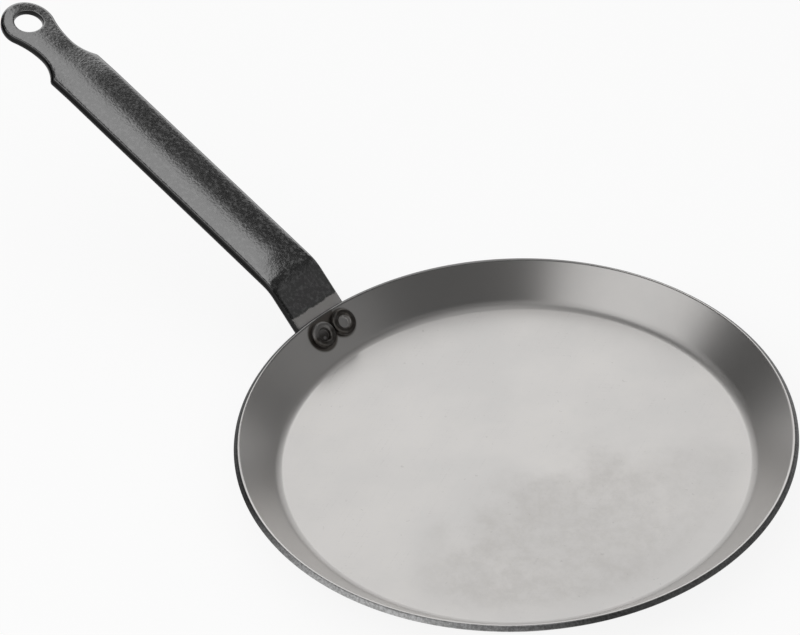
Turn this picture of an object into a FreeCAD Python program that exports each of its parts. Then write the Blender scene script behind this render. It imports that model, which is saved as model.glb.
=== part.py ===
import FreeCAD, Part
import math
import os

# A shallow flared crepe pan with a riveted strip handle, in millimetres and degrees.
# The origin is the middle of the base's underside, +Z is up and the handle points along -X.

# Pan: one pressed sheet
rim_diameter = 240.0
inner_depth = 16.0
wall_slope = 45.0
sheet = 2.9
floor_bend = 5.0
rim_inner_round = 1.2
rim_outer_round = 0.2

# Handle: one pressed strip, flat at the tab and arched from the bend to the eyelet
strip_width = 28.8
strip = 3.2
crown = 1.7
edge_round = 2.0
tab_above_bend = 3.8
tab_corner = 6.0
tab_beyond_rim = 21.7
bend_radius = 20.0
grip_angle = 19.0
arch_run = 14.0
dip_run = 16.0
shoulder_at = 146.3
neck_beyond_shoulder = 12.8
neck_width = 18.6
neck_crown = 1.9
end_dip = 0.9
eyelet_beyond_neck = 20.4
eyelet_crown = 1.5
hole_diameter = 13.4
eyelet_rim = 6.2

# Rivets: one row of two, in the middle of the tab's hold on the wall
head_diameter = 12.0
head_height = 3.2
head_gap = 0.2
ring_round = 1.55
dish_floor = 0.9
dish_taper = 0.3
dome_height = 3.2
dome_side = 0.7
dome_flat = 4.6
shank_diameter = 6.0
shank_clearance = 0.05

# How many stations each curved stretch of the handle is drawn through
bend_stations = 6
end_stations = 10

Z_AXIS = FreeCAD.Vector(0, 0, 1)
ORIGIN = FreeCAD.Vector(0, 0, 0)


def direction(angle):
    """Along the handle, away from the pan, at an angle above the horizon."""
    return FreeCAD.Vector(-math.cos(math.radians(angle)), 0, math.sin(math.radians(angle)))


def normal(angle):
    """Square to that direction, upwards."""
    return FreeCAD.Vector(math.sin(math.radians(angle)), 0, math.cos(math.radians(angle)))


def side(offset):
    return FreeCAD.Vector(0, offset, 0)


def line(start, end):
    return Part.LineSegment(start, end).toShape()


def arc(start, middle, end):
    return Part.Arc(start, middle, end).toShape()


def eased(share):
    """0 to 1, level at both ends."""
    return share * share * (3 - 2 * share)


# The wall's own places, at the handle's side of the pan
slope = math.radians(wall_slope)
rim_radius = rim_diameter / 2
rim_top = sheet + inner_depth
rim_inner_radius = rim_radius - sheet * math.sin(slope)
rim_outer_height = rim_top - sheet * math.cos(slope)
corner_radius = rim_inner_radius - inner_depth / math.tan(slope)
flat_radius = corner_radius - floor_bend * math.tan(slope / 2)
wall_run = (inner_depth - floor_bend * (1 - math.cos(slope))) / math.sin(slope)
tab_on_wall = wall_run - tab_above_bend
rivet_drop = tab_on_wall / 2
rivet_pitch = head_diameter + head_gap

# The wall is round and the tab is flat, so the tab stands this far into the wall and is hollowed to fit it
half_width = strip_width / 2
tab_end_radius = rim_radius - tab_on_wall * math.cos(slope)
tab_bed = (tab_end_radius - math.sqrt(tab_end_radius**2 - half_width**2)) * math.sin(slope)

rim_point = FreeCAD.Vector(-rim_radius, 0, rim_outer_height) + normal(wall_slope) * tab_bed
tab_end = rim_point - direction(wall_slope) * tab_on_wall
bend_tangent = bend_radius * math.tan(math.radians(wall_slope - grip_angle) / 2)
bend_start = rim_point + direction(wall_slope) * (tab_beyond_rim - bend_tangent)
bend_centre = bend_start - normal(wall_slope) * bend_radius
grip_start = bend_centre + normal(grip_angle) * bend_radius
dip_at = shoulder_at - dip_run
neck_at = shoulder_at + neck_beyond_shoulder
eyelet_at = neck_at + eyelet_beyond_neck
eyelet_radius = hole_diameter / 2 + eyelet_rim
rivet_row = FreeCAD.Vector(-rim_inner_radius, 0, rim_top) - direction(wall_slope) * rivet_drop


def on_grip(along, across=0.0, up=0.0):
    """A point on the grip: along it from the bend, across it and above its top."""
    return grip_start + direction(grip_angle) * along + side(across) + normal(grip_angle) * up


def sheet_profile():
    """Half of the pan's section, in the plane y = 0, from the axis round the sheet and back."""
    def at(radius, height):
        return FreeCAD.Vector(radius, 0, height)

    def bend(radius, angle):
        turn = math.radians(angle)
        return at(flat_radius + radius * math.sin(turn), sheet + floor_bend - radius * math.cos(turn))

    outer_bend = sheet + floor_bend
    up_wall = at(math.cos(slope), math.sin(slope))
    into_pan = at(-math.sin(slope), math.cos(slope))
    outer_edge = at(rim_radius, rim_outer_height)
    inner_edge = at(rim_inner_radius, rim_top)

    def rounded(edge, back, ahead, radius):
        """A quarter round on one edge of the rim: its start, middle and end."""
        centre = edge + (back + ahead) * radius
        return edge + back * radius, centre - (back + ahead) * (radius / math.sqrt(2)), edge + ahead * radius

    outer_round = rounded(outer_edge, -up_wall, into_pan, rim_outer_round)
    inner_round = rounded(inner_edge, -into_pan, -up_wall, rim_inner_round)
    return Part.Wire([
        line(ORIGIN, at(flat_radius, 0)),
        arc(bend(outer_bend, 0), bend(outer_bend, wall_slope / 2), bend(outer_bend, wall_slope)),
        line(bend(outer_bend, wall_slope), outer_round[0]),
        arc(*outer_round),
        line(outer_round[2], inner_round[0]),
        arc(*inner_round),
        line(inner_round[2], bend(floor_bend, wall_slope)),
        arc(bend(floor_bend, wall_slope), bend(floor_bend, wall_slope / 2), bend(floor_bend, 0)),
        line(at(flat_radius, sheet), at(0, sheet)),
        line(at(0, sheet), ORIGIN),
    ])


def strip_section(level, angle, rise):
    """The strip's section at a point level with its edges: arched by that rise, its upper edges rounded."""
    def at(across, up):
        return level + side(across) + normal(angle) * (up + rise)

    if rise > 0:
        arch = (half_width**2 + rise**2) / (2 * rise)
        lean = math.asin((half_width - edge_round) / (arch - edge_round))
        crest = (arch * math.sin(lean), arch * math.cos(lean) - arch)
        hub = (half_width - edge_round, (arch - edge_round) * math.cos(lean) - arch)
    else:
        lean = 0.0
        crest = (half_width - edge_round, 0.0)
        hub = (half_width - edge_round, -edge_round)
    turn = (lean + math.pi / 2) / 2
    shoulder = (hub[0] + edge_round * math.sin(turn), hub[1] + edge_round * math.cos(turn))
    foot = -strip - rise

    def across_strip(outer, up, middle):
        """One long edge of the section, from left to right."""
        if rise > 0:
            return arc(at(-outer, up), at(0, middle), at(outer, up))
        return line(at(-outer, up), at(outer, up))

    def corner(hand):
        middle = at(hand * shoulder[0], shoulder[1])
        return arc(at(hand * crest[0], crest[1]), middle, at(hand * half_width, hub[1]))

    def edge(hand):
        return line(at(hand * half_width, hub[1]), at(hand * half_width, foot))

    under = across_strip(half_width, foot, -strip)
    return Part.Wire([across_strip(*crest, 0.0), corner(1), edge(1), under, edge(-1), corner(-1)])


def straight(start, end, angle, rise):
    """A stretch of the strip with one section all along."""
    return Part.Face(strip_section(start, angle, rise)).extrude(end - start)


def handle_bend():
    """The bend and the first run of the grip, where the flat tab becomes the arched grip."""
    turn = wall_slope - grip_angle
    bend_length = math.radians(turn) * bend_radius
    arch_length = bend_length + arch_run
    sections = []
    for station in range(bend_stations + 1):
        share = station / bend_stations
        angle = wall_slope - turn * share
        top = bend_centre + normal(angle) * bend_radius
        sections.append(strip_section(top, angle, crown * eased(share * bend_length / arch_length)))
    for station in range(1, bend_stations + 1):
        along = arch_run * station / bend_stations
        rise = crown * eased((bend_length + along) / arch_length)
        sections.append(strip_section(on_grip(along), grip_angle, rise))
    return Part.makeLoft(sections, True)


def along_end(along, on_strip, on_neck, on_eyelet):
    """A size that changes from the grip to the neck and on to the eyelet."""
    into_neck = eased(min((along - dip_at) / (neck_at - dip_at), 1.0))
    out_of_neck = eased(max((along - neck_at) / eyelet_beyond_neck, 0.0))
    return on_strip + (on_neck - on_strip) * into_neck + (on_eyelet - on_neck) * out_of_neck


def handle_end():
    """From the grip to beyond the eyelet: arched more and lower at the neck, flatter at the eyelet."""
    sections = []
    for station in range(end_stations + 1):
        along = dip_at + (eyelet_at - dip_at) * station / end_stations
        rise = along_end(along, crown, neck_crown, eyelet_crown)
        dip = along_end(along, 0, end_dip, end_dip)
        sections.append(strip_section(on_grip(along, 0, -dip), grip_angle, rise))
    eyelet = on_grip(eyelet_at, 0, -end_dip)
    end = on_grip(eyelet_at + 2 * eyelet_radius, 0, -end_dip)
    beyond = straight(eyelet, end, grip_angle, eyelet_crown)
    return Part.makeLoft(sections, True).fuse(beyond)


def end_outline():
    """The outline of the handle's end, from the grip round the eyelet, as a block to trim the strip."""
    neck_half = neck_width / 2
    narrowing = half_width - neck_half
    shoulder_radius = (neck_beyond_shoulder**2 + narrowing**2) / (2 * narrowing)
    waist = eyelet_beyond_neck**2 + neck_half**2 - eyelet_radius**2
    neck_radius = waist / (2 * (eyelet_radius - neck_half))
    shoulder_turn = math.asin(neck_beyond_shoulder / shoulder_radius) / 2
    neck_turn = math.asin(eyelet_beyond_neck / (eyelet_radius + neck_radius))

    def at(along, across):
        return on_grip(along, across, -2 * strip)

    def shoulder_curve(hand):
        middle = at(neck_at - shoulder_radius * math.sin(shoulder_turn),
                    hand * (neck_half + shoulder_radius * (1 - math.cos(shoulder_turn))))
        return [at(shoulder_at, hand * half_width), middle, at(neck_at, hand * neck_half)]

    def neck_curve(hand):
        points = [at(neck_at, hand * neck_half)]
        for turn in (neck_turn / 2, neck_turn):
            points.append(at(neck_at + neck_radius * math.sin(turn),
                             hand * (neck_half + neck_radius * (1 - math.cos(turn)))))
        return points

    right = neck_curve(1)
    left = neck_curve(-1)
    outline = Part.Wire([
        arc(*shoulder_curve(1)),
        arc(*right),
        arc(right[2], at(eyelet_at + eyelet_radius, 0), left[2]),
        arc(*reversed(left)),
        arc(*reversed(shoulder_curve(-1))),
        line(at(shoulder_at, -half_width), at(dip_at, -half_width)),
        line(at(dip_at, -half_width), at(dip_at, half_width)),
        line(at(dip_at, half_width), at(shoulder_at, half_width)),
    ])
    return Part.Face(outline).extrude(normal(grip_angle) * 4 * strip)


def tab_outline():
    """The tab on the wall and up to the bend, with its two lower corners rounded."""
    below = -normal(wall_slope) * strip
    length = (bend_start - tab_end).Length
    inset = tab_corner * (1 - math.sqrt(0.5))

    def at(along, across):
        return tab_end + direction(wall_slope) * along + side(across) + below

    def corner(hand):
        return [at(tab_corner, hand * half_width), at(inset, hand * (half_width - inset)),
                at(0, hand * (half_width - tab_corner))]

    outline = Part.Wire([
        line(at(length, half_width), at(tab_corner, half_width)),
        arc(*corner(1)),
        line(corner(1)[2], corner(-1)[2]),
        arc(*reversed(corner(-1))),
        line(at(tab_corner, -half_width), at(length, -half_width)),
        line(at(length, -half_width), at(length, half_width)),
    ])
    return Part.Face(outline).extrude(-below)


def rivet_places():
    """Each rivet's name and its point on the wall's inside, left and right as seen from the pan's middle."""
    offset = side(rivet_pitch / 2)
    return [("rivet_left", rivet_row - offset), ("rivet_right", rivet_row + offset)]


def rivet_hole(place):
    radius = shank_diameter / 2 + shank_clearance
    reach = sheet + strip
    return Part.makeCylinder(radius, 3 * reach, place - normal(wall_slope) * 2 * reach, normal(wall_slope))


def turned(place, outward, stretches):
    """A solid turned about a line; each stretch of its outline has 2 or 3 (radius, height) points."""
    def at(radius, height):
        return place + side(radius) + outward * height

    edges = []
    for stretch in stretches:
        points = [at(*point) for point in stretch]
        edges.append(arc(*points) if len(points) == 3 else line(*points))
    return Part.Face(Part.Wire(edges)).revolve(place, outward, 360)


def rolled_head(place, outward):
    """The head inside the pan: a rolled ring round a flat dish."""
    radius = head_diameter / 2
    dish = radius - 2 * ring_round
    spring = head_height - ring_round
    return turned(place, outward, [
        [(0, 0), (radius, 0)],
        [(radius, 0), (radius, spring)],
        [(radius, spring), (radius - ring_round, head_height), (dish, spring)],
        [(dish, spring), (dish - dish_taper, dish_floor)],
        [(dish - dish_taper, dish_floor), (0, dish_floor)],
        [(0, dish_floor), (0, 0)],
    ])


def domed_head(place, outward):
    """The head under the tab: a dome with a small flat top."""
    radius = head_diameter / 2
    flat = dome_flat / 2
    bulge = math.sqrt(0.5)
    middle = (flat + (radius - flat) * bulge, dome_side + (dome_height - dome_side) * bulge)
    return turned(place, outward, [
        [(0, 0), (radius, 0)],
        [(radius, 0), (radius, dome_side)],
        [(radius, dome_side), middle, (flat, dome_height)],
        [(flat, dome_height), (0, dome_height)],
        [(0, dome_height), (0, 0)],
    ])


def build_pan_body():
    body = Part.Face(sheet_profile()).revolve(ORIGIN, Z_AXIS, 360)
    for _, place in rivet_places():
        body = body.cut(rivet_hole(place))
    return body


def build_handle(pan_body):
    tab = straight(tab_end, bend_start, wall_slope, 0.0).common(tab_outline())
    grip = straight(on_grip(arch_run), on_grip(dip_at), grip_angle, crown)
    end = handle_end().common(end_outline())
    strip_solid = tab.fuse([handle_bend(), grip, end]).removeSplitter()
    hole_bottom = on_grip(eyelet_at, 0, -2 * strip)
    hole = Part.makeCylinder(hole_diameter / 2, 4 * strip, hole_bottom, normal(grip_angle))
    strip_solid = strip_solid.cut(hole)
    for _, place in rivet_places():
        strip_solid = strip_solid.cut(rivet_hole(place))
    return strip_solid.cut(pan_body)


def build_rivet(place, pan_body):
    """A shank through the wall and the tab, with a head at each end; the inner head fits the round wall."""
    inwards = normal(wall_slope)
    grip_length = sheet - tab_bed + strip
    outer_face = place - inwards * grip_length
    shank = Part.makeCylinder(shank_diameter / 2, grip_length, outer_face, inwards)
    inner_head = rolled_head(place, inwards).cut(pan_body)
    return shank.fuse([inner_head, domed_head(outer_face, -inwards)]).removeSplitter()


pan_body = build_pan_body()
nodes = {"pan_body": pan_body, "handle": build_handle(pan_body)}
for name, place in rivet_places():
    nodes[name] = build_rivet(place, pan_body)

os.makedirs("parts", exist_ok=True)
for name, shape in nodes.items():
    box = shape.optimalBoundingBox()
    print(name, "solids", len(shape.Solids), "valid", shape.isValid(), "cm3", round(shape.Volume / 1000, 2),
          "x", round(box.XMin, 1), round(box.XMax, 1), "z", round(box.ZMin, 2), round(box.ZMax, 2))
    shape.exportStep("parts/" + name + ".step")
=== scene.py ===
import math

import bmesh
import bpy
from mathutils import Matrix, Vector


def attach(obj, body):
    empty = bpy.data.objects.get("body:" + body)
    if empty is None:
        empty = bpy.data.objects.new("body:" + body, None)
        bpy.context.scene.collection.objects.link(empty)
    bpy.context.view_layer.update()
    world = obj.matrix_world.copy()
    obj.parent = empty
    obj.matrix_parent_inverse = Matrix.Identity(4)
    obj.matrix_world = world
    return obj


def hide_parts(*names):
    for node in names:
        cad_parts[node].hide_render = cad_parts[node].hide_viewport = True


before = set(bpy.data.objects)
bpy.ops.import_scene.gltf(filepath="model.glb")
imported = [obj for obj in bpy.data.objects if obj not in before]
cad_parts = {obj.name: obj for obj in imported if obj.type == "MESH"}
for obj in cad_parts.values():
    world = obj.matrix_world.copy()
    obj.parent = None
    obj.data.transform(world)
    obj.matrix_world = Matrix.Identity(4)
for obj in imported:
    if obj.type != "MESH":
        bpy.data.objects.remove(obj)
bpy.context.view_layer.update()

# Lengths are in millimetres and angles in degrees, and MM turns a length into Blender's metres
MM = 0.001

# Points nearer than this become one point
weld = 0.001

# Pan: one pressed sheet with a flat floor, a flared wall and a plain cut rim
rim_radius = 120.0
inner_depth = 16.0
wall_slope = 45.0
sheet = 2.9
floor_bend = 5.0
rim_inner_round = 1.2
rim_outer_round = 0.2

# Handle: one pressed strip, flat at the tab and arched from the bend to the eyelet
strip_width = 28.8
strip = 3.2
crown = 1.7
edge_round = 2.0
under_round = 0.4
tab_above_bend = 3.8
tab_corner = 6.0
tab_beyond_rim = 21.7
bend_radius = 20.0
grip_angle = 19.0
arch_run = 14.0
dip_run = 16.0
shoulder_at = 146.3
shoulder_round = 3.0
neck_beyond_shoulder = 12.8
neck_width = 18.6
neck_crown = 1.9
end_dip = 0.9
eyelet_beyond_neck = 20.4
eyelet_crown = 1.5
hole_radius = 6.7
eyelet_rim = 6.2
end_round = 1.6
end_round_from = 4.0
hole_round = 0.6
hole_surround = 3.0
coat_beyond_rim = 4.6

# Rivets: a rolled ring round a flat dish inside the pan, and a dome under the tab
head_radius = 6.0
head_height = 3.2
head_gap = 0.2
head_sink = 0.3
ring_round = 1.55
dish_floor = 0.9
dish_taper = 0.3
dish_round = 0.4
dome_height = 3.2
dome_round = 2.5
shank_radius = 3.0

# The photograph's viewpoint: where the camera stands about the pan's floor, and how far off it aims
view_turn = 47.1
view_rise = 38.81
view_roll = -3.65
view_distance = 1300.0
view_right = -49.61
view_up = 59.5
focal_length = 136.6
sensor_width = 36.0

# The studio's floor, just under the pan
floor_radius = 6000.0
floor_drop = 0.3


def direction(angle):
    """Along the handle, away from the pan, at an angle above the level."""
    return Vector((-math.cos(math.radians(angle)), 0, math.sin(math.radians(angle))))


def normal(angle):
    """Square to that direction, upwards."""
    return Vector((math.sin(math.radians(angle)), 0, math.cos(math.radians(angle))))


def side(offset):
    """Across the handle, to the right as seen from the pan."""
    return Vector((0, offset, 0))


def eased(share):
    """0 to 1, level at both ends."""
    share = min(max(share, 0.0), 1.0)
    return share * share * (3 - 2 * share)


# Places that follow from the sizes
slope = math.radians(wall_slope)
half_width = strip_width / 2
rim_top = sheet + inner_depth
rim_inner_radius = rim_radius - sheet * math.sin(slope)
rim_outer_height = rim_top - sheet * math.cos(slope)
corner_radius = rim_inner_radius - inner_depth / math.tan(slope)
under_corner_radius = rim_radius - rim_outer_height / math.tan(slope)
floor_edge = corner_radius - floor_bend * math.tan(slope / 2)
wall_foot = corner_radius + floor_bend * math.tan(slope / 2) * math.cos(slope)
wall_run = (inner_depth - floor_bend * (1 - math.cos(slope))) / math.sin(slope)
tab_on_wall = wall_run - tab_above_bend
tab_end_radius = rim_radius - tab_on_wall * math.cos(slope)
tab_bed = (tab_end_radius - math.sqrt(tab_end_radius**2 - half_width**2)) * math.sin(slope)
rim_point = Vector((-rim_radius, 0, rim_outer_height)) + normal(wall_slope) * tab_bed
tab_end = rim_point - direction(wall_slope) * tab_on_wall
bend_turn = math.radians(wall_slope - grip_angle)
bend_from = tab_on_wall + tab_beyond_rim - bend_radius * math.tan(bend_turn / 2)
bend_length = bend_radius * bend_turn
grip_from = bend_from + bend_length
bend_centre = tab_end + direction(wall_slope) * bend_from - normal(wall_slope) * bend_radius
grip_start = bend_centre + normal(grip_angle) * bend_radius
shoulder = grip_from + shoulder_at
dip = shoulder - dip_run
neck = shoulder + neck_beyond_shoulder
eyelet = neck + eyelet_beyond_neck
eyelet_radius = hole_radius + eyelet_rim
dish_radius = head_radius - 2 * ring_round
rivet_row = Vector((-rim_inner_radius, 0, rim_top)) - direction(wall_slope) * (tab_on_wall / 2)
rivet_right = rivet_row + side(head_radius + head_gap / 2)
rivet_left = rivet_row - side(head_radius + head_gap / 2)
behind_heads = rivet_row + direction(wall_slope) * head_radius


class Wire:
    """One output of a node tree. Arithmetic on wires adds Math nodes, and node() adds any other node."""

    def __init__(self, tree, socket=None):
        self.tree = tree
        self.socket = socket

    def node(self, kind, settings=(), sockets=(), out=0):
        """A node of that type: its settings are set first, then its sockets get values or wires."""
        made = self.tree.nodes.new(kind)
        for name, value in dict(settings).items():
            setattr(made, name, value)
        for name, value in dict(sockets).items():
            self.feed(made.inputs[name], value)
        return Wire(self.tree, made.outputs[out])

    def feed(self, socket, value):
        """Link a wire to an input, or set the input's own value."""
        if isinstance(value, Wire):
            self.tree.links.new(value.socket, socket)
        else:
            socket.default_value = value

    def maths(self, operation, *terms):
        return self.node("ShaderNodeMath", {"operation": operation}, enumerate(terms))

    def __add__(self, other):
        return self.maths("ADD", self, other)

    def __radd__(self, other):
        return self.maths("ADD", other, self)

    def __sub__(self, other):
        return self.maths("SUBTRACT", self, other)

    def __rsub__(self, other):
        return self.maths("SUBTRACT", other, self)

    def __mul__(self, other):
        return self.maths("MULTIPLY", self, other)

    def __rmul__(self, other):
        return self.maths("MULTIPLY", other, self)

    def __truediv__(self, other):
        return self.maths("DIVIDE", self, other)

    def __abs__(self):
        return self.maths("ABSOLUTE", self)

    def at_least(self, other):
        return self.maths("MAXIMUM", self, other)

    def at_most(self, other):
        return self.maths("MINIMUM", self, other)

    def step(self, low, high):
        """0 below low, 1 above high and smooth between; high may be the lower of the two."""
        return self.node("ShaderNodeMapRange", {"interpolation_type": "SMOOTHSTEP"},
                         {"Value": self, "From Min": low, "From Max": high})

    def blend(self, first, second):
        """A colour between two, by this wire."""
        return self.node("ShaderNodeMix", {"data_type": "RGBA"}, {0: self, 6: first, 7: second}, out=2)

    def vector(self, operation, *terms, out=0):
        return self.node("ShaderNodeVectorMath", {"operation": operation}, enumerate(terms), out)

    def scaled(self, factors):
        return self.vector("MULTIPLY", self, factors)

    def dot(self, other):
        return self.vector("DOT_PRODUCT", self, other, out="Value")

    def length(self):
        return self.vector("LENGTH", self, out="Value")

    def reach(self, way):
        """How far in millimetres this place lies along a direction."""
        return self.dot(way) / MM

    def off_axis(self, point, axis):
        """How far in millimetres this place is from the line through a point along an axis."""
        offset = self.vector("SUBTRACT", self, point * MM)
        return offset.vector("CROSS_PRODUCT", offset, axis).length() / MM

    def noise(self, scale, detail=2.0, roughness=0.5):
        sockets = {"Vector": self, "Scale": scale, "Detail": detail, "Roughness": roughness}
        return self.node("ShaderNodeTexNoise", {}, sockets)

    def scratches(self, along, scale):
        """Noise drawn out along one direction of the floor."""
        across = (-along[1], along[0], 0)
        length_to_width = 45
        drawn = self.node("ShaderNodeCombineXYZ", {}, {
            "X": self.dot(along), "Y": self.dot(across) * length_to_width})
        return drawn.noise(scale, 3.0, 0.6)

    def bump(self, depth, under=None):
        """A normal from this wire as a height from 0 to 1, a depth in millimetres and a normal under it."""
        sockets = {"Height": self, "Distance": depth * MM}
        if under is not None:
            sockets["Normal"] = under
        return self.node("ShaderNodeBump", {}, sockets)


def grey(level, warmth=0.0):
    """A grey, warmer or cooler by a share."""
    return (level * (1 + warmth), level, level * (1 - warmth), 1.0)


def new_finish(name, constants):
    """A material whose shader has these constants; returns it, its shader and the piece's coordinates."""
    material = bpy.data.materials.new(name)
    material.use_nodes = True
    shader = material.node_tree.nodes["Principled BSDF"]
    for socket, value in constants.items():
        shader.inputs[socket].default_value = value
    return material, shader, Wire(material.node_tree).node("ShaderNodeTexCoord", out="Object")


def dress(shader, wires):
    """Link wires to a shader's inputs."""
    for socket, wire in wires.items():
        wire.feed(shader.inputs[socket], wire)


def satin_steel():
    """The pan's bare sheet: cloudy satin, a stained side, fine scratches, painted shade round the rivets and
    on the rim near the handle, and a sheared rim painted darker as a painted reflection, with painted
    highlights.
    """
    material, shader, place = new_finish("satin_steel", {"Metallic": 1.0, "Specular Tint": grey(0.9)})
    radius = place.scaled((1, 1, 0)).length() / MM
    height = place.reach((0, 0, 1))
    up_wall = radius * math.cos(slope) + height * math.sin(slope)
    rim_reach = rim_radius * math.cos(slope) + rim_outer_height * math.sin(slope)
    sheared = up_wall.step(rim_reach - 0.4, rim_reach - 0.15)
    on_floor = height.step(sheet + 1.5, sheet + 0.3)
    bend = radius.step(floor_edge + 0.1, floor_edge + 0.9) * radius.step(wall_foot + 1.6, wall_foot - 0.4)

    # The stain on the side of the floor away from the handle
    from_handle = place.reach((0.99, -0.13, 0))
    to_front = place.reach((0.73, -0.68, 0))
    to_right = place.reach((0.68, 0.73, 0))
    ragged = place.noise(34.0, 7.0, 0.66)
    stain_edge = (from_handle - 21).at_most(to_front - 2) + (ragged - 0.5) * 80
    stained = on_floor * radius.step(floor_edge - 0.9, floor_edge - 13.9) * stain_edge.step(-12, 14)
    stained = stained * to_right.step(-60, -20) * (1 - to_right.step(30, 80) * 0.5)
    blotches = place.noise(170.0, 7.0, 0.75).step(0.36, 0.66)
    stains = stained * (0.25 + blotches * 0.6 + stain_edge.step(30, 10) * 0.15)

    # Marks of use on the floor, and painted shade round the rivet heads and along the rim behind them
    hazy = on_floor * place.reach((-0.97, 0.26, 0)).step(75, 100)
    marks = place.scratches((0.8, 0.6, 0), 42.0) + place.scratches((-0.35, 0.94, 0), 30.0)
    specks = on_floor * place.noise(420.0, 2.0).step(0.71, 0.78)
    square = normal(wall_slope)
    head_shade = place.off_axis(rivet_left, square).step(head_radius + 2.2, head_radius + 1.0)
    for point, reach in ((rivet_right, head_radius), (behind_heads, 4.5)):
        head_shade = head_shade.at_least(place.off_axis(point, square).step(reach + 1.5, reach))

    # The rim's inner edge with painted shade near the handle, and its cut edge painted dark as a painted
    # reflection, with painted highlights towards the front and the right
    rim_shade = place.reach((-0.91, 0.41, 0)).step(0.55 * rim_radius, 0.9 * rim_radius)
    rim_shade = rim_shade * up_wall.step(rim_reach - 1.5, rim_reach - 0.8)
    brightened = place.reach((0.294, -0.956, 0)).step(0.7 * rim_radius, 0.95 * rim_radius)
    shear_lines = place.noise(900.0, 4.0, 0.7)
    cut_edge_marks_and_reflection = 0.09 + brightened * 0.44 + to_right.step(-20, 80) * 0.14
    cut_edge_marks_and_reflection = cut_edge_marks_and_reflection * (0.7 + shear_lines.step(0.35, 0.65) * 0.5)

    drift = place.noise(16.0, 5.0, 0.62)
    grain = place.noise(1400.0, 3.0)
    colour = drift.step(0.36, 0.64).blend(grey(0.68, 0.025), grey(0.65, 0.02))
    colour = stains.blend(colour, grey(0.585, 0.03))
    colour = (specks * 0.25).blend(colour, grey(0.3, 0.05))
    colour = (on_floor * marks.step(1.16, 1.3) * 0.25).blend(colour, grey(0.45, 0.03))
    # Painted shade, dark round the rivet heads and between them and the rim
    colour = (head_shade * 0.9).blend(colour, grey(0.1, 0.15))
    # Painted shade on the rim's inner edge near the handle
    colour = (rim_shade * 0.75).blend(colour, grey(0.2))
    # The cut edge's shear lines under a painted reflection: dark, with painted highlights towards the front
    # and the right
    colour = sheared.blend(colour, cut_edge_marks_and_reflection)
    rough = 0.26 + on_floor * 0.04 + hazy * 0.04 + bend * 0.13
    rough = rough + drift * 0.04 + stains * 0.04 + grain * 0.03 + sheared * 0.1
    dress(shader, {
        "Base Color": colour,
        "Roughness": rough,
        "Normal": marks.bump(0.004, (grain + shear_lines * sheared * 4).bump(0.004)),
    })
    return material


def handle_coat():
    """The handle's dark peeled coat, dull on top, with painted shade that makes its edges, sides and
    underside black and its tab darker, and a thin painted shadow along the coat's edge; it stops short of
    the rim.
    """
    material, shader, place = new_finish("handle_coat", {})
    outward = place.node("ShaderNodeTexCoord", out="Normal")
    top = abs(outward.dot((0, 1, 0))).step(0.7, 0.35) * outward.dot((0, 0, 1)).step(0.1, 0.4)
    under = outward.dot((0, 0, -1)).step(0.5, 0.8)
    clouds = place.noise(60.0, 3.0)
    up = direction(wall_slope)
    beyond_rim = place.reach(up) - rim_point.dot(up)
    beyond_rim = beyond_rim + (place.noise(220.0, 5.0, 0.65) - 0.5) * 3.0
    coat = beyond_rim.step(coat_beyond_rim - 0.5, coat_beyond_rim + 0.5).at_least(1 - top)
    # A thin painted shadow darkens the coat just inside its edge
    lip = coat * beyond_rim.step(coat_beyond_rim + 1.0, coat_beyond_rim)
    on_tab = beyond_rim.step(tab_beyond_rim + 4.3, tab_beyond_rim - 3.7)
    peel = place.noise(780.0, 2.0, 0.55)
    flecks = place.noise(560.0, 3.0, 0.65).step(0.46, 0.66)
    bare = clouds.step(0.35, 0.65).blend(grey(0.82, 0.01), grey(0.68, 0.03))
    grip_paint = flecks.blend(grey(0.35), grey(0.38))
    tab_paint_and_shade = flecks.blend(grey(0.16), grey(0.21))
    # Painted shade: the edges, sides and underside are black, and the tab is darker than the grip
    paint_and_shade = top.blend(grey(0.025), on_tab.blend(grip_paint, tab_paint_and_shade))
    colour = coat.blend(bare, (lip * 0.3).blend(paint_and_shade, grey(0.04)))
    dress(shader, {
        "Base Color": colour,
        "Metallic": 1 - coat * (under + top * flecks * (0.18 - on_tab * 0.1)),
        "Roughness": 0.3 + clouds * 0.05 - coat * 0.16,
        "Normal": (peel * coat).bump(0.08, coat.bump(0.03)),
    })
    return material


def blued_steel():
    """The rivets' dark browned steel: the right one's dish is worn bare, and the left one has a painted
    sheen on its upper side and a painted glint in its dish.
    """
    material, shader, place = new_finish("blued_steel", {"Metallic": 1.0})
    up = direction(wall_slope)
    square = normal(wall_slope)
    clouds = place.noise(350.0, 3.0)
    dents = place.noise(700.0, 2.0)
    brightened = place.off_axis(rivet_right, square).step(dish_radius + 0.4, dish_radius - 0.2)
    on_left = place.off_axis(rivet_left, square).step(head_radius + 0.4, head_radius - 0.6)
    # A painted sheen on the left head's upper side, and a painted glint low in its dish
    left_upper_sheen = on_left * (place.reach(up) - rivet_left.dot(up)).step(-0.5, 2.5)
    left_dish_glint = place.off_axis(rivet_left - up * 1.4, square).step(1.0, 0.5)
    colour = clouds.step(0.35, 0.7).blend(grey(0.07, 0.1), grey(0.12, 0.05))
    colour = brightened.blend(colour, grey(0.5, 0.02))
    colour = (left_upper_sheen * 0.6 + left_dish_glint * 0.7).blend(colour, grey(0.36, 0.02))
    dress(shader, {
        "Base Color": colour,
        "Roughness": 0.32 + clouds * 0.12 + left_upper_sheen * 0.15,
        "Normal": dents.bump(0.05),
    })
    return material


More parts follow.
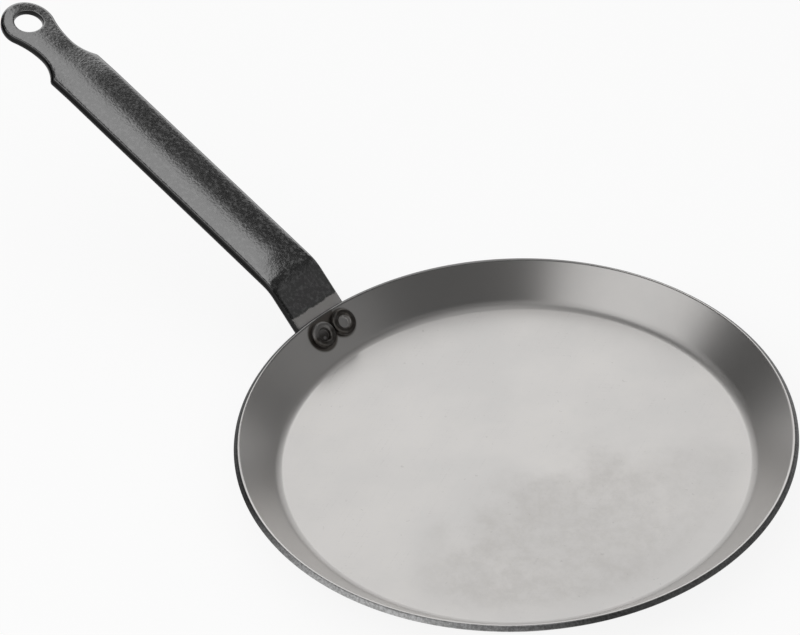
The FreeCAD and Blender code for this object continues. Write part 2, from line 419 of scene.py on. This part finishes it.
def new_tree(name, inputs):
    """An empty geometry tree with named inputs; returns it, its input wires by name and its output node."""
    tree = bpy.data.node_groups.new(name, "GeometryNodeTree")
    for label, kind in inputs.items():
        tree.interface.new_socket(name=label, in_out="INPUT", socket_type="NodeSocket" + kind)
    tree.interface.new_socket(name="Mesh", in_out="OUTPUT", socket_type="NodeSocketGeometry")
    source = tree.nodes.new("NodeGroupInput")
    wires = {label: Wire(tree, source.outputs[label]) for label in inputs}
    return tree, wires, tree.nodes.new("NodeGroupOutput")


def turned_on_axis(wires):
    """Nodes that round the corners of a section and turn it about the Z axis."""
    section = wires["Section"]
    reach = wires["Turning radius"]
    rounds = section.node("GeometryNodeInputRadius")
    rounded = section.node("GeometryNodeFilletCurve", {"mode": "POLY"},
                           {"Curve": section, "Count": wires["Round steps"], "Radius": rounds})
    inwards = section.node("ShaderNodeCombineXYZ", {}, {"X": 0 - reach})
    moved = section.node("GeometryNodeTransform", {}, {"Geometry": rounded, "Translation": inwards})
    circle = section.node("GeometryNodeCurvePrimitiveCircle", {}, {
        "Resolution": wires["Segments"], "Radius": reach})
    swept = section.node("GeometryNodeCurveToMesh", {}, {"Curve": circle, "Profile Curve": moved})
    closed = section.node("GeometryNodeMergeByDistance", {}, {"Geometry": swept, "Distance": weld * MM})
    return section.node("GeometryNodeSetShadeSmooth", {}, {"Geometry": closed})


TURNING_INPUTS = {
    "Section": "Geometry",
    "Turning radius": "Float",
    "Round steps": "Int",
    "Segments": "Int",
    "Material": "Material",
}


def hand_out(shape, wires, output):
    """Nodes that make a tree's shape one plain mesh with its material."""
    whole = shape.node("GeometryNodeRealizeInstances", {}, {"Geometry": shape})
    dressed = whole.node("GeometryNodeSetMaterial", {}, {"Geometry": whole, "Material": wires["Material"]})
    dressed.feed(output.inputs["Mesh"], dressed)


def pressed_sheet_tree():
    """One turned sheet."""
    tree, wires, output = new_tree("pressed_sheet", TURNING_INPUTS)
    hand_out(turned_on_axis(wires), wires, output)
    return tree


def rivet_row_tree():
    """One turned rivet, set in a row of them along Y and tipped square to the wall."""
    inputs = {"Count": "Int", "First place": "Vector", "Spacing": "Vector", "Tip": "Rotation"}
    tree, wires, output = new_tree("rivet_row", {**TURNING_INPUTS, **inputs})
    rivet = turned_on_axis(wires)
    row = rivet.node("GeometryNodeMeshLine", {}, {
        "Count": wires["Count"], "Start Location": wires["First place"], "Offset": wires["Spacing"]})
    placed = rivet.node("GeometryNodeInstanceOnPoints", {}, {
        "Points": row, "Instance": rivet, "Rotation": wires["Tip"]})
    hand_out(placed, wires, output)
    return tree


def section_curve(name, corners):
    """A section as a line through (radius, height, round) corners; turning needs its height down Y."""
    curve = bpy.data.curves.new(name, "CURVE")
    curve.dimensions = "3D"
    spline = curve.splines.new("POLY")
    spline.points.add(len(corners) - 1)
    for point, (radius, height, rounding) in zip(spline.points, corners):
        point.co = (radius * MM, -height * MM, 0, 1)
        point.radius = rounding * MM
    return curve


def add_piece(name, data):
    """An object in the scene, of a mesh or a curve."""
    piece = bpy.data.objects.new(name, data)
    bpy.context.scene.collection.objects.link(piece)
    return piece


def grown(name, data, tree, values):
    """A piece with the plain mesh that a geometry tree makes from some data and values."""
    seed = add_piece(name + "_seed", data)
    modifier = seed.modifiers.new("tree", "NODES")
    modifier.node_group = tree
    for item in tree.interface.items_tree:
        if item.name in values:
            modifier[item.identifier] = values[item.name]
    shown = seed.evaluated_get(bpy.context.evaluated_depsgraph_get())
    piece = add_piece(name, bpy.data.meshes.new_from_object(shown))
    bpy.data.objects.remove(seed)
    return piece


def weigh_normals(piece):
    """Keep flats flat where they run into small rounds."""
    piece.modifiers.new("weighted", "WEIGHTED_NORMAL")
    shown = piece.evaluated_get(bpy.context.evaluated_depsgraph_get())
    mesh = bpy.data.meshes.new_from_object(shown)
    piece.modifiers.clear()
    piece.data = mesh


def make_pan_body():
    """The whole sheet, turned from its section."""
    under_bend = sheet + floor_bend
    corners = [
        (0, sheet, 0),
        (corner_radius, sheet, floor_bend),
        (rim_inner_radius, rim_top, rim_inner_round),
        (rim_radius, rim_outer_height, rim_outer_round),
        (under_corner_radius, 0, under_bend),
        (0, 0, 0),
    ]
    pan = grown("pan_dressed", section_curve("pan_section", corners), pressed_sheet_tree(), {
        "Turning radius": rim_radius * MM, "Round steps": 10, "Segments": 320, "Material": satin_steel()})
    weigh_normals(pan)
    return pan


def make_rivets():
    """Both rivets, inner rings and outer domes, as one row."""
    outer_face = -(sheet - tab_bed + strip)
    corners = [
        (0, dish_floor, 0),
        (dish_radius - dish_taper, dish_floor, dish_round),
        (dish_radius, head_height, ring_round),
        (head_radius, head_height, ring_round),
        (head_radius, -head_sink, 0),
        (shank_radius, -head_sink, 0),
        (shank_radius, outer_face, 0),
        (head_radius, outer_face, 0),
        (head_radius, outer_face - dome_height, dome_round),
        (0, outer_face - dome_height, 0),
    ]
    return grown("rivets_dressed", section_curve("rivet_section", corners), rivet_row_tree(), {
        "Turning radius": head_radius * MM, "Round steps": 10, "Segments": 72, "Material": blued_steel(),
        "Count": 2, "First place": rivet_left * MM, "Spacing": (rivet_right - rivet_left) * MM,
        "Tip": (0, slope, 0)})


def along_end(along, on_strip, on_neck, on_eyelet):
    """A size that changes from the grip to the neck and on to the eyelet."""
    into_neck = eased((along - dip) / (neck - dip))
    out_of_neck = eased((along - neck) / eyelet_beyond_neck)
    return on_strip + (on_neck - on_strip) * into_neck + (on_eyelet - on_neck) * out_of_neck


def arch_rise(along):
    """How far the strip's middle stands above its edges."""
    up = eased((along - bend_from) / (bend_length + arch_run))
    return crown * up + along_end(along, 0, neck_crown - crown, eyelet_crown - crown)


def end_sink(along):
    """How far the strip dips towards its neck and its eyelet."""
    return along_end(along, 0, end_dip, end_dip)


def on_handle(along, across, depth):
    """A point of the strip, along it from the tab's end, across it and below its top."""
    if along < bend_from:
        angle = wall_slope
        level = tab_end + direction(angle) * along
    elif along < grip_from:
        angle = wall_slope - math.degrees((along - bend_from) / bend_radius)
        level = bend_centre + normal(angle) * bend_radius
    else:
        angle = grip_angle
        level = grip_start + direction(angle) * (along - grip_from)
    rise = arch_rise(along) * (1 - (across / half_width)**2)
    return (level + side(across) + normal(angle) * (rise - end_sink(along) - depth)) * MM


def spread(start, end, count):
    """Evenly spaced values from start up to, but not including, end."""
    return [start + (end - start) * step / count for step in range(count)]


def handle_side():
    """The strip's right edge from the tab's end to the eyelet's end, as (along, across, outward normal)."""
    points = []

    def add_arc(along, across, radius, start, end, steps):
        """Points of an arc, with angles from the handle's line; a negative radius is a hollow curve."""
        for angle in spread(start, end, steps):
            out = (math.cos(angle), math.sin(angle))
            points.append((along + radius * out[0], across + radius * out[1], out))

    quarter = math.pi / 2
    neck_half = neck_width / 2
    narrowing = half_width - neck_half
    shoulder_radius = (neck_beyond_shoulder**2 + narrowing**2) / (2 * narrowing)
    shoulder_reach = shoulder_radius + shoulder_round
    shoulder_turn = math.acos((shoulder_reach - narrowing) / shoulder_reach)
    waist = eyelet_beyond_neck**2 + neck_half**2 - eyelet_radius**2
    neck_radius = waist / (2 * (eyelet_radius - neck_half))
    neck_turn = math.asin(eyelet_beyond_neck / (eyelet_radius + neck_radius))
    round_at = neck - shoulder_reach * math.sin(shoulder_turn)

    add_arc(tab_corner, half_width - tab_corner, tab_corner, 2 * quarter, quarter, 12)
    stations = spread(tab_corner, bend_from, 8) + spread(bend_from, grip_from, 14)
    stations += spread(grip_from, grip_from + arch_run, 8) + spread(grip_from + arch_run, round_at, 44)
    points += [(along, half_width, (0.0, 1.0)) for along in stations]
    add_arc(round_at, half_width - shoulder_round, shoulder_round, quarter, quarter - shoulder_turn, 6)
    add_arc(neck, neck_half + shoulder_radius, -shoulder_radius, quarter - shoulder_turn, quarter, 16)
    add_arc(neck, neck_half + neck_radius, -neck_radius, quarter, quarter + neck_turn, 14)
    add_arc(eyelet, 0, eyelet_radius, quarter + neck_turn, 0, 40)
    points.append((eyelet + eyelet_radius, 0.0, (1.0, 0.0)))
    return points


def make_handle():
    """The strip cut as a flat blank with rounded edges, then laid along the tab, the bend and the grip."""
    right = handle_side()
    left = [(along, -across, (out[0], -out[1])) for along, across, out in right]
    columns = 18
    rings = 5
    last_row = eyelet - hole_radius - hole_surround
    join = next(index for index, point in enumerate(right) if point[0] > last_row)
    end_row = [(0.0, across, (-1.0, 0.0)) for across in
               spread(half_width - tab_corner, tab_corner - half_width, columns)[1:]]
    outline = left[-2::-1] + end_row[::-1] + right
    corner = len(left) - 2
    mesh = bmesh.new()

    def rounded(top, steps):
        """(inset, depth) steps of an edge, from its top round to its underside."""
        edge = [(top * (1 - math.sin(angle)), top * (1 - math.cos(angle))) for angle in
                spread(0, math.pi / 2, steps)]
        edge += [(0, top), (0, strip - under_round)]
        for angle in (math.pi / 4, math.pi / 2):
            edge.append((under_round * (1 - math.cos(angle)), strip - under_round * (1 - math.sin(angle))))
        return edge

    def edge_at(along):
        """The edge's steps at a place along the strip, tighter at the neck and the eyelet."""
        tightened = eased((along - shoulder + end_round_from) / neck_beyond_shoulder)
        return rounded(edge_round + (end_round - edge_round) * tightened, steps=6)

    def inset(point, step):
        """A point of the blank's edge, moved in and down by one of its steps."""
        along, across, out = point
        inwards, depth = edge_at(along)[step]
        return Vector((along - out[0] * inwards, across - out[1] * inwards, depth))

    def band(first, second, closed=False):
        """Faces between two rows of points, or between two loops."""
        pairs = list(zip(first, second))
        following = pairs[1:] + pairs[:1] if closed else pairs[1:]
        for (a, b), (c, d) in zip(pairs, following):
            mesh.faces.new((a, c, d, b))

    def fill(loop, step):
        """The top or the underside in rows across the strip; returns the loop left open round the hole."""
        rows = [loop[corner:corner + columns + 1]]
        for index in range(1, join + 1):
            start = inset(left[index], step)
            end = inset(right[index], step)
            inner = [mesh.verts.new(start.lerp(end, column / columns)) for column in range(1, columns)]
            rows.append([loop[corner - index]] + inner + [loop[corner + columns + index]])
        for first, second in zip(rows, rows[1:]):
            band(first, second)
        return rows[-1] + loop[corner + columns + join + 1:] + loop[:corner - join]

    def spokes(around, hole):
        """Rings of faces from the open loop in to the hole's edge."""
        previous = around
        for ring in range(1, rings):
            current = [mesh.verts.new(a.co.lerp(b.co, ring / rings)) for a, b in zip(around, hole)]
            band(previous, current, closed=True)
            previous = current
        band(previous, hole, closed=True)

    steps = range(len(edge_at(0)))
    loops = [[mesh.verts.new(inset(point, step)) for point in outline] for step in steps]
    for first, second in zip(loops, loops[1:]):
        band(first, second, closed=True)
    top = fill(loops[0], 0)
    under = fill(loops[-1], -1)
    turns = [math.atan2(vertex.co.y, vertex.co.x - eyelet) for vertex in top]
    hole_loops = []
    for inwards, depth in rounded(hole_round, steps=4):
        reach = hole_radius + inwards
        hole_loops.append([mesh.verts.new((eyelet + reach * math.cos(turn), reach * math.sin(turn), depth))
                           for turn in turns])
    for first, second in zip(hole_loops, hole_loops[1:]):
        band(first, second, closed=True)
    spokes(top, hole_loops[0])
    spokes(under, hole_loops[-1])

    for vertex in mesh.verts:
        vertex.co = on_handle(*vertex.co)
    bmesh.ops.remove_doubles(mesh, verts=mesh.verts, dist=weld * MM)
    bmesh.ops.recalc_face_normals(mesh, faces=mesh.faces)
    for face in mesh.faces:
        face.smooth = True
    data = bpy.data.meshes.new("handle_dressed")
    mesh.to_mesh(data)
    mesh.free()
    data.materials.append(handle_coat())
    return add_piece("handle_dressed", data)


def seen_by(start):
    """1 for rays that look straight at the studio, and 1 for those that see it in metal or through glass."""
    camera, metal, glass = [start.node("ShaderNodeLightPath", out="Is " + kind + " Ray")
                            for kind in ("Camera", "Glossy", "Transmission")]
    return camera, metal.at_least(glass)


def add_stage_floor():
    """A plain white floor, which keeps the pan's shadow and looks softer in metal."""
    mesh = bmesh.new()
    bmesh.ops.create_circle(mesh, cap_ends=True, segments=64, radius=floor_radius * MM)
    bmesh.ops.translate(mesh, verts=mesh.verts, vec=(0, 0, -floor_drop * MM))
    data = bpy.data.meshes.new("studio_floor")
    mesh.to_mesh(data)
    mesh.free()
    material = bpy.data.materials.new("white_floor")
    material.use_nodes = True
    tree = material.node_tree
    tree.nodes.clear()
    start = Wire(tree)
    camera, metal = seen_by(start)
    matt = start.node("ShaderNodeBsdfDiffuse", {}, {"Color": grey(0.95)})
    glow = start.node("ShaderNodeEmission", {}, {"Color": camera.blend(grey(0.62), grey(1.0))})
    glow_share = (camera + metal) * 0.85
    mixed = start.node("ShaderNodeMixShader", {}, {0: glow_share, 1: matt, 2: glow})
    mixed.feed(tree.nodes.new("ShaderNodeOutputMaterial").inputs["Surface"], mixed)
    data.materials.append(material)
    floor = add_piece("studio_floor", data)


def studio_direction(turn_right, rise):
    """A direction from the pan, by its turn to the right of the camera's line of sight and its height."""
    turned = math.radians(view_turn - turn_right)
    level = math.cos(math.radians(rise))
    return Vector((-math.sin(turned) * level, math.cos(turned) * level, math.sin(math.radians(rise))))


def add_softbox(name, turn_right, rise, distance, width, height, glow):
    """A flat lamp that faces the pan and shines evenly at that glow; it isn't seen directly."""
    lamp = bpy.data.lights.new(name, "AREA")
    lamp.shape = "RECTANGLE"
    lamp.size = width * MM
    lamp.size_y = height * MM
    # A lamp's glow is its energy over four times its area
    lamp.energy = 4 * glow * lamp.size * lamp.size_y
    box = bpy.data.objects.new(name, lamp)
    aim = studio_direction(turn_right, rise)
    faced = aim.to_track_quat("Z", "Y").to_matrix().to_4x4()
    box.matrix_world = Matrix.Translation(aim * distance * MM) @ faced
    box.visible_camera = False
    bpy.context.scene.collection.objects.link(box)


def add_world():
    """White behind the pan; metal sees a dim room with bright panels, and matt things an even light."""
    world = bpy.data.worlds.new("studio")
    bpy.context.scene.world = world
    world.use_nodes = True
    tree = world.node_tree
    look = Wire(tree).node("ShaderNodeTexCoord", out="Generated")
    camera, metal = seen_by(look)
    height = look.dot((0, 0, 1))
    ahead = look.dot(studio_direction(0, 0))
    to_right = look.dot(studio_direction(90, 0))
    aside = abs(to_right)

    # The white panel that the pan's floor mirrors, and the lit wall on both sides of it
    panel = (aside + height * 0.58).step(0.72, 0.56) * aside.step(0.62, 0.4) * height.step(0.88, 0.74)
    panel = panel * ahead.step(0.0, 0.2)
    white = height.step(0.3, 0.58).blend(grey(0.88), grey(1.1))
    flanks = aside.step(0.63, 0.5) * height.step(0.62, 0.45) * height.step(0.12, 0.26) * ahead.step(0.3, 0.5)

    # The lit wall behind the camera, the grey wall on the right and the panel above the handle
    front = ahead.step(-0.3, -0.6) * height.step(0.55, 0.4)
    right_wall = to_right.step(0.55, 0.75) * height.step(0.26, 0.42) * height.step(0.85, 0.7)
    along = look.dot((0.88, 0.48, 0))
    across = look.dot((0.19, 0.98, 0)) - along.step(0.1, 0.22) * 0.07
    overhead = across.step(0.45, 0.37) * across.step(-0.16, -0.08) * height.step(0.6, 0.7)
    overhead = overhead * along.step(-0.21, -0.15) * along.step(0.32, 0.22)

    room = height.step(0.3, 0.0).blend(grey(0.05), grey(0.52))
    for light, level in ((flanks, 0.9), (front, 0.85), (right_wall, 0.21), (overhead, 0.68)):
        room = light.blend(room, grey(level))
    colour = metal.blend(grey(0.7), panel.blend(room, white))
    colour = camera.blend(colour, grey(1.0))
    colour.feed(tree.nodes["Background"].inputs["Color"], colour)


def add_camera():
    """The photograph's viewpoint."""
    data = bpy.data.cameras.new("photo_view")
    data.sensor_fit = "HORIZONTAL"
    data.sensor_width = sensor_width
    data.lens = focal_length
    turned = Matrix.Rotation(math.radians(view_turn), 4, "Z")
    raised = Matrix.Rotation(math.radians(90 - view_rise), 4, "X")
    rolled = Matrix.Rotation(math.radians(view_roll), 4, "Z")
    moved = Matrix.Translation(Vector((view_right, view_up, view_distance)) * MM)
    camera = bpy.data.objects.new("photo_view", data)
    camera.matrix_world = Matrix.Translation((0, 0, sheet * MM)) @ turned @ raised @ rolled @ moved
    bpy.context.scene.collection.objects.link(camera)
    bpy.context.scene.camera = camera


def place_piece(piece, slot, *nodes):
    """Set a dressed piece on the pan's one body, in place of its CAD nodes."""
    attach(piece, "root")
    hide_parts(*nodes)


place_piece(make_pan_body(), "pan_steel", "pan_body")
place_piece(make_handle(), "handle_coat", "handle")
place_piece(make_rivets(), "rivet_steel", "rivet_left", "rivet_right")

add_stage_floor()
add_softbox("left_softbox", turn_right=-114, rise=42, distance=1200, width=1120, height=1000, glow=0.6)
add_world()
add_camera()

bpy.context.scene.view_settings.view_transform = "Standard"
